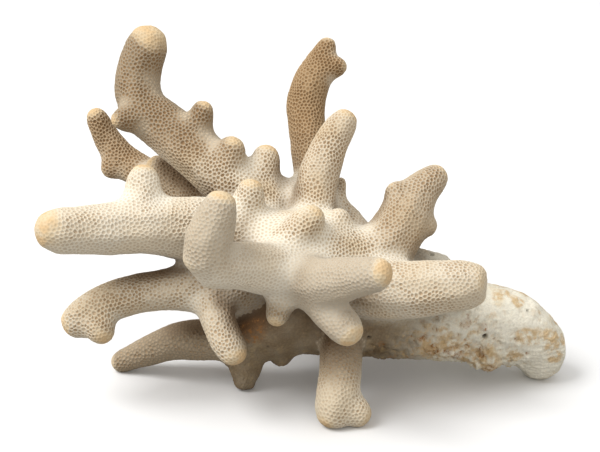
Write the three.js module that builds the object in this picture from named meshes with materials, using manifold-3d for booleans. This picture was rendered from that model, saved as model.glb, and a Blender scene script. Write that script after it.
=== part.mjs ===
// A branching stony coral, bleached and dried, lying on its side. Millimetres, +Z up.
//
// One worn trunk flares into a crown of round-ended branches. The colony is split at its main forks:
// every branch is a solid of its own, hollowed at its root so that it sits a hair's breadth off the
// limb that it grows from. Short knobs belong to the branch that carries them.
//
// A limb is a row of balls under one smooth skin, each ball written as [x, y, z, radius]. The trunk's
// right end, where the colony grew on the reef, is cut off flat, and so are the tips that it rests on.

import * as THREE from 'three';
import { mergeVertices } from 'three/addons/utils/BufferGeometryUtils.js';
import Module from 'manifold-3d';

const wasm = await Module();
wasm.setup();

// Driving dimensions
const FORK_GAP = 0.3;          // clear gap round a branch's root
const BRANCH_SIDES = 8;        // flats round a branch
const KNOB_SIDES = 7;          // flats round a short knob
const TRUNK_SIDES = 12;        // flats round the trunk and the crown's core
const RING_STEP = 5;           // target distance between two rings along a limb
const TIP_RINGS = 2;           // rings in a rounded tip, before its pole
const CUT_END_X = 86;          // the flat cut through the trunk's foot
const GROUND_Z = 0;            // the lowest tips are worn flat at this height
const TRIM_SIZE = 400;         // side of the blocks that trim the solids
const MERGE_DISTANCE = 1e-4;   // corners closer than this are one corner

// Finishes
const CREAM = { color: 0xe0d2b6, roughness: 0.85, metalness: 0 };
const TAN = { color: 0xc9ae84, roughness: 0.85, metalness: 0 };
const CHALK = { color: 0xe2d9c6, roughness: 0.95, metalness: 0 };
const SHADED = { color: 0xb5a68c, roughness: 0.9, metalness: 0 };

/** A limb from its balls, with the number of flats round it. */
function limb(sides, ...balls) {
  return { sides, balls };
}

/** A branch-sized limb. */
function branch(...balls) {
  return limb(BRANCH_SIDES, ...balls);
}

/** A short side knob. */
function knob(...balls) {
  return limb(KNOB_SIDES, ...balls);
}

// The thick foot with its lobes, the flare under the crown, a worn stub behind and one low stub.
const TRUNK = [
  limb(
    TRUNK_SIDES, [79, -5, 10.6, 8.8], [70, -4, 16.4, 12], [56, -3, 18.8, 13], [39, -4, 23, 15.7],
    [20, -5, 25.8, 16.6], [1, -8, 24.5, 13.6], [-12, -11, 21.5, 11.4],
  ),
  branch([44, 4, 27, 11.9], [26, 4, 32, 12.5]),
  branch([52, 4, 18, 8.5], [56, 13, 17, 6.2]),
  knob([76.5, -4, 12, 8], [78, -5, 7.8, 8.2]),
  knob([61, -7, 13, 7.2], [60, -10, 12, 6.8]),
  knob([-8, -9, 16, 6], [-6, -12, 11.5, 3.9]),
  knob([-17, -12, 13, 6], [-17.9, -14, 4.2, 4.6]),
];

// The knot of limbs where all branches meet, with the small knobs on it.
const CROWN = [
  limb(TRUNK_SIDES, [23, -9, 40, 11.7], [0, -13, 45, 14.2], [-19, -9, 49.5, 11]),
  branch([0, -22, 44, 9.8], [10, -17, 41, 10]),
  branch([12, 10, 48, 8.6], [-2, 13, 53, 9.4], [-16, 5, 53, 9.2]),
  branch([14, 8, 48, 6.5], [21, 1, 42.2, 7]),
  branch([-12, -2, 47, 7.5], [4, 1, 46, 8], [19, -1, 41, 7]),
  knob([-5, -21, 51, 6.4], [3, -20, 60, 4.7]),
  knob([12, -12, 48, 5.6], [12, -9, 55, 4.8]),
  knob([-5, -27, 39, 4.6], [-7, -34, 34.5, 3.6]),
  knob([12, 12, 55, 3.4], [13.5, 16, 60.5, 1.9]),
];

const LEFT = [
  branch(
    [-72, -29, 60, 6.9], [-60, -23, 58, 7.9], [-47, -19, 57.5, 8.3],
    [-34, -14, 55, 10.1], [-19, -11, 51, 10.6],
  ),
  knob([-48, -16, 62, 6.5], [-48, -12, 70, 5.1]),
  knob([-40, -14, 57, 6], [-40, -5, 55, 4.4]),
  knob([-30, -11, 50, 6.4], [-31, -6, 42, 4.4]),
];

const UPPER_LEFT = [
  branch(
    [-50.2, 29, 103, 6.9], [-53.4, 28, 93, 7.4], [-52.4, 24, 84.5, 7.7], [-44, 20, 77.8, 8.1],
    [-31.5, 13, 69.5, 8.4], [-21, 7, 60.8, 8.5], [-12, 2, 53, 7.4],
  ),
  knob([-51, 20, 81, 5.6], [-57.8, 15, 82, 3.6]),
  knob([-34, 16, 76, 5.4], [-31.5, 16, 84.5, 3.7]),
  knob([-24, 7, 64, 6.4], [-22, 8, 73.5, 4.8]),
  knob([-36, 17, 72, 6.4], [-33, 27, 71.5, 4.6]),
];

const UPPER_RIGHT = [
  branch([43, 7, 64.5, 4.8], [37.5, 3, 60.5, 6.6], [33.5, -2, 55, 8], [28, -7, 47, 9], [21, -10, 42, 8.8]),
  knob([34, 0, 58, 5.3], [31.2, 0, 61.6, 4.2]),
  knob([34, -3, 52, 5.4], [39.5, -3, 52, 4.2]),
];

// Its end is blunt, with a corner above and below.
const RIGHT = [
  branch([49.5, -25, 41, 7.6], [37, -24, 39, 8.8], [25, -21, 38, 9.1], [13, -17, 38, 8.8]),
  knob([49, -24, 43, 4.6], [53, -24, 43.5, 3.9]),
  knob([49, -26, 37, 4.2], [53, -26, 38, 3.9]),
  knob([37, -22, 38.5, 6.4], [38, -12, 36, 4.4]),
];

const FRONT_LEFT = [
  branch(
    [-23, -43, 72, 5.3], [-25, -44, 66, 6.3], [-27, -44.5, 60, 7.1], [-25, -43, 54.5, 7],
    [-17, -37, 52, 6.9], [-8, -29, 47, 8], [0, -22, 44, 8.6],
  ),
];

// A near prong with a shorter one under it.
const FRONT_RIGHT = [
  branch([21.5, -53.5, 56, 5], [13, -45, 51, 6.3], [5.5, -36, 46, 7.6], [-1, -25, 44, 8]),
  branch([13.5, -44, 35, 5.4], [9, -39, 38, 5.6], [4, -31, 43, 6.6]),
];

// Its end hooks down in two lobes, and a prong hangs forward near its root.
const LOWER_LEFT = [
  branch(
    [-68.5, -23, 28, 5.5], [-62, -22, 32.5, 6], [-54, -20, 34.8, 6], [-43.5, -17.5, 36, 6.3],
    [-31, -15, 36, 8.1], [-19, -14, 36, 8.8],
  ),
  knob([-44, -16, 35, 5.6], [-46, -8, 33.5, 4]),
  knob([-63, -23, 31, 4.7], [-61, -27, 27, 4.6]),
  branch([-27, -19, 35, 5.8], [-25, -27, 29.5, 5.2], [-20.5, -34, 23, 4.8]),
];

const TALL = [
  branch(
    [9.2, 51, 98, 3.4], [7.1, 49, 92, 5.3], [4.1, 46, 87, 6.2], [2.1, 43, 81, 6.4],
    [2, 38.5, 75, 6.3], [3.4, 31, 67, 6.2], [5.4, 19, 57, 6.4],
  ),
  knob([9, 47.5, 91.5, 4.8], [12.6, 47, 92, 3.6]),
  knob([2, 43, 80, 5.6], [2, 51, 76, 4]),
];

const CENTRE_FINGER = [
  branch([13.9, 14, 81, 4.8], [9.8, 11, 75, 5.7], [6.8, 7, 68, 6.3], [5, 4, 61, 6.8], [4, -1, 53, 7]),
];

const FRONT_FINGER = [branch([-15.5, -10.5, 65.5, 4.6], [-16, -11.5, 59.5, 5.1], [-15, -12, 52, 5.4])];

const REAR_FINGER = [branch([-11, 13, 69, 4.9], [-12, 10, 63, 5.3], [-10, 4, 55, 5.9])];

const REAR_LEFT = [
  branch(
    [-70.5, 46, 74, 3.8], [-67, 46, 66, 4.7], [-61, 43, 59.5, 5.4], [-51.5, 37, 54.5, 6.2],
    [-37, 27, 48.5, 6.6], [-21, 14, 48.5, 6.8],
  ),
  knob([-61, 43, 58, 4.6], [-65, 41.5, 57.5, 4.3]),
];

const REAR_STUB = [branch([-48, 31, 60, 5], [-40.5, 27, 55, 5.6], [-28, 17, 51, 6])];

const REAR = [
  branch([3, 6, 41, 8.4], [2, 26, 38, 6.8], [-3, 42, 34, 5.4]),
  knob([2, 28, 38, 5.2], [9, 40, 43, 4.2]),
];

const REAR_RIGHT = [branch([31, 5, 27, 8.2], [40, 21, 23, 6.4], [46, 33, 22, 5.2])];

const FRONT_FOOT = [
  branch([10.5, -38, 5, 6.1], [11.5, -36, 9.5, 6.4], [12.5, -32, 14, 6.2], [13, -23, 19, 6.6]),
  knob([13, -36, 8, 4.8], [17.4, -38, 4, 4.6]),
];

const LEFT_FOOT = [
  branch([-59.4, -1, 3.3, 3.6], [-51, -2, 7.2, 4.8], [-42, -3.5, 11.6, 5.8], [-31, -6, 13.8, 6.9], [-18, -9, 15, 7]),
];

const REAR_FOOT = [branch([2, 2, 21, 8], [-1, 15, 16, 6], [0, 26, 4.2, 4.8])];

// Every node in the order of growth. A younger limb is cut back from all older ones.
const NODES = [
  ['trunk', TRUNK, CHALK],
  ['crown', CROWN, CREAM],
  ['left_branch', LEFT, CREAM],
  ['upper_left_branch', UPPER_LEFT, CREAM],
  ['upper_right_branch', UPPER_RIGHT, CREAM],
  ['right_branch', RIGHT, CREAM],
  ['front_left_branch', FRONT_LEFT, CREAM],
  ['front_right_branch', FRONT_RIGHT, CREAM],
  ['lower_left_branch', LOWER_LEFT, CREAM],
  ['tall_branch', TALL, TAN],
  ['rear_left_branch', REAR_LEFT, CREAM],
  ['rear_branch', REAR, CREAM],
  ['rear_right_branch', REAR_RIGHT, SHADED],
  ['rear_stub', REAR_STUB, CREAM],
  ['centre_finger', CENTRE_FINGER, CREAM],
  ['front_finger', FRONT_FINGER, CREAM],
  ['rear_finger', REAR_FINGER, CREAM],
  ['front_foot', FRONT_FOOT, SHADED],
  ['left_foot', LEFT_FOOT, SHADED],
  ['rear_foot', REAR_FOOT, SHADED],
];

/** Turns a closed geometry into a solid, its shared corners merged and its empty faces dropped. */
function solidOf(geometry) {
  const bare = new THREE.BufferGeometry();
  bare.setAttribute('position', geometry.getAttribute('position'));
  bare.setIndex(geometry.getIndex());
  const merged = mergeVertices(bare, MERGE_DISTANCE);
  const corners = merged.getIndex().array;
  const faces = [];
  for (let i = 0; i < corners.length; i += 3) {
    const [a, b, c] = corners.slice(i, i + 3);
    if (a !== b && b !== c && c !== a) faces.push(a, b, c);
  }
  return new wasm.Manifold(new wasm.Mesh({
    numProp: 3,
    vertProperties: new Float32Array(merged.getAttribute('position').array),
    triVerts: new Uint32Array(faces),
  }));
}

/** The half outline of a straight limb along +Y: a rounded foot, its rings and a rounded tip. */
function outline(length, steps, radiusAt) {
  const points = [];
  const addCap = (base, radius, from, to) => {
    for (let i = 0; i <= TIP_RINGS; i += 1) {
      const angle = THREE.MathUtils.lerp(from, to, i / TIP_RINGS);
      points.push(new THREE.Vector2(Math.abs(radius * Math.cos(angle)), base + radius * Math.sin(angle)));
    }
  };
  addCap(0, radiusAt(0), -Math.PI / 2, 0);
  for (let i = 1; i < steps; i += 1) {
    points.push(new THREE.Vector2(radiusAt(i / steps), length * (i / steps)));
  }
  addCap(length, radiusAt(1), 0, Math.PI / 2);
  return points;
}

/** One limb as a solid: a turned rod bent along the curve through its balls, `grow` thicker all round. */
function limbSolid({ sides, balls }, grow) {
  const centres = balls.map(([x, y, z]) => new THREE.Vector3(x, y, z));
  const curve = new THREE.CatmullRomCurve3(centres, false, 'centripetal');
  const radii = new THREE.SplineCurve(balls.map((ball, i) => new THREE.Vector2(i, ball[3])));
  const facetFit = (1 + 1 / Math.cos(Math.PI / sides)) / 2;
  const radiusAt = (share) => radii.getPoint(curve.getUtoTmapping(share)).y * facetFit + grow;
  const length = curve.getLength();
  const steps = Math.max(2, Math.round(length / RING_STEP));
  const rod = new THREE.LatheGeometry(outline(length, steps, radiusAt), sides);
  const { tangents, normals, binormals } = curve.computeFrenetFrames(steps, false);
  const position = rod.getAttribute('position');
  for (let i = 0; i < position.count; i += 1) {
    const along = position.getY(i);
    const share = THREE.MathUtils.clamp(along / length, 0, 1);
    const ring = Math.round(share * steps);
    const point = curve.getPointAt(share);
    point.addScaledVector(tangents[ring], along - share * length);
    point.addScaledVector(binormals[ring], position.getX(i));
    point.addScaledVector(normals[ring], position.getZ(i));
    position.setXYZ(i, point.x, point.y, point.z);
  }
  return solidOf(rod);
}

/** All limbs of one node joined in one solid, `grow` thicker all round. */
function nodeSolid(limbs, grow = 0) {
  return limbs.map((each) => limbSolid(each, grow)).reduce((whole, each) => whole.add(each));
}

/** A trimming block with its middle at the given place. */
function trimBlock(x, y, z) {
  const geometry = new THREE.BoxGeometry(TRIM_SIZE, TRIM_SIZE, TRIM_SIZE);
  geometry.translate(x, y, z);
  return solidOf(geometry);
}

/** A solid's triangles as a named mesh with its finish. */
function meshOf(name, solid, finish) {
  const { vertProperties, triVerts } = solid.getMesh();
  const geometry = new THREE.BufferGeometry();
  geometry.setAttribute('position', new THREE.BufferAttribute(vertProperties, 3));
  geometry.setIndex(new THREE.BufferAttribute(triVerts, 1));
  const mesh = new THREE.Mesh(geometry, new THREE.MeshStandardMaterial(finish));
  mesh.name = name;
  return mesh;
}

/** The whole colony, with the middle of its footprint at the origin. */
function growColony() {
  const colony = new THREE.Group();
  const belowGround = trimBlock(0, 0, GROUND_Z - TRIM_SIZE / 2);
  const beyondCut = trimBlock(CUT_END_X + TRIM_SIZE / 2, 0, 0);
  const older = [belowGround, beyondCut];
  for (const [name, limbs, finish] of NODES) {
    const solid = older.reduce((rest, grown) => rest.subtract(grown), nodeSolid(limbs));
    colony.add(meshOf(name, solid, finish));
    older.push(nodeSolid(limbs, FORK_GAP));
  }
  const box = new THREE.Box3().setFromObject(colony);
  const middle = box.getCenter(new THREE.Vector3());
  for (const mesh of colony.children) mesh.position.set(-middle.x, -middle.y, -box.min.z);
  return colony;
}

export default growColony();
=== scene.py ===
"""A bleached branching coral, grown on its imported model.

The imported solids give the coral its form. This script fuses them, rounds their flats and webs their
forks, then covers the skin with cups, the small pits in which the polyps sat. An even net of seeds
gives every cup its cell, and a Geometry Nodes tree presses a pit into each cell. The old trunk has
lost its cups: another tree weathers its skin. At last the skin is parted along cup walls into one
closed piece for each solid.
"""

import logging
import math
from dataclasses import dataclass, field
from enum import Enum
from functools import cached_property

import bmesh
import bpy
import numpy as np
from mathutils import Matrix, Vector, noise
from mathutils.bvhtree import BVHTree
from mathutils.kdtree import KDTree


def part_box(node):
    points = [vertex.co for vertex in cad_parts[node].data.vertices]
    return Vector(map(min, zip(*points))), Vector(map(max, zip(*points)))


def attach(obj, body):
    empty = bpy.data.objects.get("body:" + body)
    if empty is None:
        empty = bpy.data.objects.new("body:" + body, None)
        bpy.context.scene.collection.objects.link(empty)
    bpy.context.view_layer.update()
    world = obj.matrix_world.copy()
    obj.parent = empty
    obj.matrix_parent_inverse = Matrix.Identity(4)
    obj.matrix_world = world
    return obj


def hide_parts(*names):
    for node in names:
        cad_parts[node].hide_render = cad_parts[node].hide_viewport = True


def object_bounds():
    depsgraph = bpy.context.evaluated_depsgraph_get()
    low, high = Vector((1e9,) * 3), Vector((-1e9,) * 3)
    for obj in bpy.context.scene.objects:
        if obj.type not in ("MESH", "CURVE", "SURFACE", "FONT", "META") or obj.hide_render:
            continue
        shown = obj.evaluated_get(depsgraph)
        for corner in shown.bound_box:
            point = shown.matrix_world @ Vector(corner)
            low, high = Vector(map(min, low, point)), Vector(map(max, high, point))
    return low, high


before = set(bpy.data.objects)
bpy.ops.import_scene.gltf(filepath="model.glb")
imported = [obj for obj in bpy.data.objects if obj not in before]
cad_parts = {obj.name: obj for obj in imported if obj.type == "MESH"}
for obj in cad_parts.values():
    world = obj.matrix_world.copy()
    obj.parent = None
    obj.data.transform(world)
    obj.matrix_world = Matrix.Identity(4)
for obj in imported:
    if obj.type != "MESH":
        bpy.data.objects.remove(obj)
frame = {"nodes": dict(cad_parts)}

MM = 0.001
CAD_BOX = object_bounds()
LOG = logging.getLogger("coral")
Colour = tuple[float, float, float]


class Trait(Enum):
    """What is known about each cup or place on the skin, by the name of its attribute."""

    LIMB = "limb"
    WIDTH = "pit_width"
    DEPTH = "pit_depth"
    PIT = "pit"
    TIP = "tip"
    FORK = "fork"
    TAN = "tan"
    DULL = "dull"
    TONE = "tone"
    FAINT = "faint"
    # Share of the ways out that nearby coral blocks; the finishes darken by it as painted shade.
    SHELTERED = "sheltered"
    SUNK = "sunk"
    INNER = "inner"
    POCKET = "pocket"
    ROUGH = "rough"
    CRUST = "crust"
    STAINED = "stained"
    RUSTY = "rusty"
    STRIPED = "striped"
    HOLE = "hole"
    SAWN = "sawn"


class Slot(Enum):
    """The record's material slots."""

    CREAM = "coral_cream"
    TAN = "coral_tan"
    SHADED = "coral_shaded"
    CHALK = "trunk_chalk"


TRUNK = "trunk"
TALL = "tall_branch"
LIMB_SLOTS = {
    TRUNK: Slot.CHALK,
    TALL: Slot.TAN,
    "left_foot": Slot.SHADED,
    "rear_foot": Slot.SHADED,
    "rear_right_branch": Slot.SHADED,
}
# A lid hangs inside the body: its edge at a share of its depth, then a ring at each share of the way
# to its middle. It is spread by a last small share, so that no two of its corners meet.
LID_EDGE_DEPTH = 0.7
LID_RINGS = (0.35, 0.70)
LID_SPREAD = 0.01
CUP_LID_DEPTH = 1.2 * MM
WORN_LID_DEPTH = 2.9 * MM


@dataclass(frozen=True)
class Tone:
    """How strongly a tone lies on a limb, fading in between two heights and out along the limb.

    Args:
        share: its strength, from 0 to 1.
        low: the height where it begins.
        high: the height where it is full, above or below the first.
        until: shares of the limb's length between which it fades out again.
    """

    share: float
    low: float = -2.0 * MM
    high: float = -1.0 * MM
    until: tuple[float, float] | None = None


TAN_LIMBS = {
    TALL: Tone(1.0, 50 * MM, 76 * MM),
    "upper_left_branch": Tone(0.95, 66 * MM, 82 * MM),
    "front_foot": Tone(0.5, 15 * MM, 20 * MM),
    "rear_left_branch": Tone(0.85),
    "rear_stub": Tone(0.5),
    "upper_right_branch": Tone(0.35),
    "centre_finger": Tone(0.25),
    "rear_finger": Tone(0.25),
    "rear_branch": Tone(0.3),
}
# A duller, browner tone: partly the limbs' own colour, partly painted shade where they lie in shade.
DULL_AND_SHADED_LIMBS = {
    TRUNK: Tone(1.0, until=(0.46, 0.66)),
    "left_foot": Tone(1.0),
    "crown": Tone(0.8, 42 * MM, 35 * MM),
    "lower_left_branch": Tone(0.25),
    "right_branch": Tone(0.15),
    "upper_right_branch": Tone(0.3),
    "rear_foot": Tone(0.7),
    "rear_right_branch": Tone(0.5),
    "front_left_branch": Tone(0.55, 50 * MM, 60 * MM),
    "upper_left_branch": Tone(0.85, 68 * MM, 82 * MM),
    "front_foot": Tone(0.95, 12 * MM, 18 * MM),
    "front_right_branch": Tone(0.6),
}
FAINT_LIMBS = {
    "front_right_branch": Tone(0.9),
    "front_left_branch": Tone(0.8),
    "left_branch": Tone(0.7),
    "right_branch": Tone(0.45),
    "front_foot": Tone(0.3),
    "left_foot": Tone(0.6),
}
WORN_LIMBS = {TRUNK: Tone(1.0)}
PAINT_TRAITS = (
    Trait.TIP, Trait.FORK, Trait.TAN, Trait.DULL, Trait.TONE, Trait.FAINT, Trait.SHELTERED)


def smooth_step(low: float, high: float, values: np.ndarray) -> np.ndarray:
    """Eases values from 0 at low to 1 at high."""
    share = np.clip((values - low) / (high - low), 0.0, 1.0)
    return share * share * (3.0 - 2.0 * share)


def shares_along(across: np.ndarray, limb: str) -> np.ndarray:
    """Places from left to right as shares of a limb's box."""
    low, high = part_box(limb)
    return (across - low[0]) / (high[0] - low[0])


def unit(vectors: np.ndarray) -> np.ndarray:
    """Vectors scaled to length one."""
    return vectors / np.maximum(np.linalg.norm(vectors, axis=1, keepdims=True), 1e-12)


def linear(red: int, green: int, blue: int) -> Colour:
    """A screen colour, 0 to 255, as linear light."""
    return tuple(((c / 255 + 0.055) / 1.055) ** 2.4 for c in (red, green, blue))


def axes_on(normals: np.ndarray) -> tuple[np.ndarray, np.ndarray]:
    """Two directions for each normal, square to it and to each other."""
    across = unit(np.cross(normals, np.eye(3)[np.abs(normals).argmin(axis=1)]))
    return across, np.cross(normals, across)


def placed(name: str, data: bpy.types.ID) -> bpy.types.Object:
    """A new object in the scene."""
    made = bpy.data.objects.new(name, data)
    bpy.context.scene.collection.objects.link(made)
    return made


def column(rows: bpy.types.bpy_prop_collection, name: str, kind: type, width: int = 1) -> np.ndarray:
    """Reads one property of every row of a Blender collection.

    Args:
        rows: the collection.
        name: the property.
        kind: the kind of its numbers.
        width: how many numbers it holds.

    Returns:
        The numbers, in rows where a property holds more than one.
    """
    values = np.zeros(len(rows) * width, kind)
    rows.foreach_get(name, values)
    return values.reshape(-1, width) if width > 1 else values


def clouds(points: np.ndarray, size: float, shift: float = 0.0) -> np.ndarray:
    """Soft random values from about -1 to 1 that change over a length of size."""
    read = noise.noise
    return np.array([read(Vector(p)) for p in (points / size + shift).tolist()])


def marks_of_bodies(edges: np.ndarray, count: int) -> np.ndarray:
    """Marks every corner with the lowest number that its edges reach.

    Args:
        edges: two corner numbers a row.
        count: how many corners there are.

    Returns:
        One mark for each corner, the same for all that are joined.
    """
    marks = np.arange(count)
    while True:
        lowest = np.minimum(marks[edges[:, 0]], marks[edges[:, 1]])
        lower = marks.copy()
        np.minimum.at(lower, edges[:, 0], lowest)
        np.minimum.at(lower, edges[:, 1], lowest)
        lower = lower[lower]
        if (lower == marks).all():
            return marks
        marks = lower


def tidied(labels: np.ndarray, edges: np.ndarray) -> np.ndarray:
    """Gives each label's smaller islands to a neighbour, so that a label is one patch.

    Args:
        labels: a label for each corner.
        edges: two corner numbers a row.

    Returns:
        The labels, each now on one joined patch.
    """
    labels = labels.copy()
    while True:
        inside = edges[labels[edges[:, 0]] == labels[edges[:, 1]]]
        marks, patch, sizes = np.unique(
            marks_of_bodies(inside, len(labels)), return_inverse=True, return_counts=True)
        order = np.lexsort((sizes, labels[marks]))
        last = np.append(labels[marks][order][1:] != labels[marks][order][:-1], True)
        main = np.zeros(len(marks), bool)
        main[order[last]] = True
        stray = ~main[patch]
        if not stray.any():
            return labels
        for here, there in ((0, 1), (1, 0)):
            rows = edges[stray[edges[:, here]] & ~stray[edges[:, there]]]
            labels[rows[:, here]] = labels[rows[:, there]]


@dataclass
class Skin:
    """A closed surface of triangles, in metres.

    Args:
        points: one row for each corner.
        faces: three corner numbers for each triangle, counted outwards.
    """

    points: np.ndarray
    faces: np.ndarray

    @classmethod
    def of_mesh(cls, mesh: bpy.types.Mesh) -> "Skin":
        """The skin of a Blender mesh, its faces cut into triangles."""
        mesh.calc_loop_triangles()
        points = column(mesh.vertices, "co", np.float32, 3)
        faces = column(mesh.loop_triangles, "vertices", np.int32, 3)
        return cls(points.astype(float), faces.astype(np.int64))

    @cached_property
    def edges(self) -> np.ndarray:
        """Each edge once, as two corner numbers."""
        sides = np.concatenate([self.faces[:, [0, 1]], self.faces[:, [1, 2]], self.faces[:, [2, 0]]])
        sides.sort(axis=1)
        keys = np.unique(sides[:, 0] * len(self.points) + sides[:, 1])
        return np.stack([keys // len(self.points), keys % len(self.points)], 1)

    @cached_property
    def _neighbours(self) -> tuple[np.ndarray, np.ndarray, np.ndarray]:
        """Every corner's neighbours in one row, where each corner's stretch starts, and its length."""
        pairs = np.concatenate([self.edges, self.edges[:, ::-1]])
        pairs = pairs[np.argsort(pairs[:, 0], kind="stable")]
        counts = np.bincount(pairs[:, 0], minlength=len(self.points))
        return pairs[:, 1], np.append(0, np.cumsum(counts)[:-1]), counts

    def around(self, values: np.ndarray) -> np.ndarray:
        """The mean of each corner's neighbours."""
        others, starts, counts = self._neighbours
        total = np.add.reduceat(values[others], starts, axis=0)
        return total / (counts[:, None] if values.ndim == 2 else counts)

    def blurred(self, values: np.ndarray, rounds: int) -> np.ndarray:
        """Values spread over the skin, each round half way to the neighbours' mean."""
        for _ in range(rounds):
            values = 0.5 * (values + self.around(values))
        return values

    def _gathered(self, rows: np.ndarray) -> np.ndarray:
        """The sum at each corner of its triangles' rows."""
        count = len(self.points)
        total = np.zeros((count, rows.shape[1]))
        for corner in self.faces.T:
            for column, values in enumerate(rows.T):
                total[:, column] += np.bincount(corner, weights=values, minlength=count)
        return total

    def _crossed(self) -> np.ndarray:
        """Each triangle's outward direction, as long as twice its area."""
        first, second, third = (self.points[corner] for corner in self.faces.T)
        return np.cross(second - first, third - first)

    def normals(self) -> np.ndarray:
        """The outward direction at each corner."""
        return unit(self._gathered(self._crossed()))

    def shares(self) -> np.ndarray:
        """The area that belongs to each corner."""
        return self._gathered(np.linalg.norm(self._crossed(), axis=1, keepdims=True) / 6.0)[:, 0]

    def bends(self) -> tuple[np.ndarray, np.ndarray]:
        """The least and the greatest bend at each corner, in 1/m, above 0 where the skin bulges."""
        normals = unit(self.blurred(self.normals(), 2))
        across, along = axes_on(normals)
        here, there = np.concatenate([self.edges, self.edges[:, ::-1]]).T
        step = self.points[there] - self.points[here]
        turn = normals[there] - normals[here]
        step_u, step_v = ((step * axis[here]).sum(1) for axis in (across, along))
        turn_u, turn_v = ((turn * axis[here]).sum(1) for axis in (across, along))

        def total(values: np.ndarray) -> np.ndarray:
            """Sums one value of each edge at the corner that it leaves."""
            return np.bincount(here, weights=values, minlength=len(self.points))

        uu, uv, vv = total(step_u * step_u), total(step_u * step_v), total(step_v * step_v)
        zero = np.zeros_like(uu)
        rows = np.stack([uu, uv, zero, uv, uu + vv, uv, zero, uv, vv], 1).reshape(-1, 3, 3)
        turned = turn_u * step_v + turn_v * step_u
        right = np.stack([total(turn_u * step_u), total(turned), total(turn_v * step_v)], 1)
        fit = np.linalg.solve(rows, right[:, :, None])[:, :, 0]
        middle = (fit[:, 0] + fit[:, 2]) / 2
        spread = np.hypot((fit[:, 0] - fit[:, 2]) / 2, fit[:, 1])
        return middle - spread, middle + spread

    @cached_property
    def tree(self) -> BVHTree:
        """The triangles, ready to be searched."""
        return BVHTree.FromPolygons(self.points.tolist(), self.faces.tolist())

    def sunk(self, points: np.ndarray, depth: float) -> np.ndarray:
        """Points moved to lie at least that deep inside the skin, where it leaves room for it."""
        points = points.copy()
        for _ in range(3):
            for number, point in enumerate(points.tolist()):
                place, normal = self.tree.find_nearest(Vector(point))[:2]
                if (Vector(point) - place).dot(normal) > -depth:
                    points[number] = place - normal * depth
        return points

    def largest_body(self) -> "Skin":
        """The skin without its smaller separate bodies."""
        marks = marks_of_bodies(self.edges, len(self.points))
        names, counts = np.unique(marks, return_counts=True)
        kept = marks == names[counts.argmax()]
        number = np.cumsum(kept) - 1
        return Skin(self.points[kept], number[self.faces[kept[self.faces[:, 0]]]])


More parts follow.
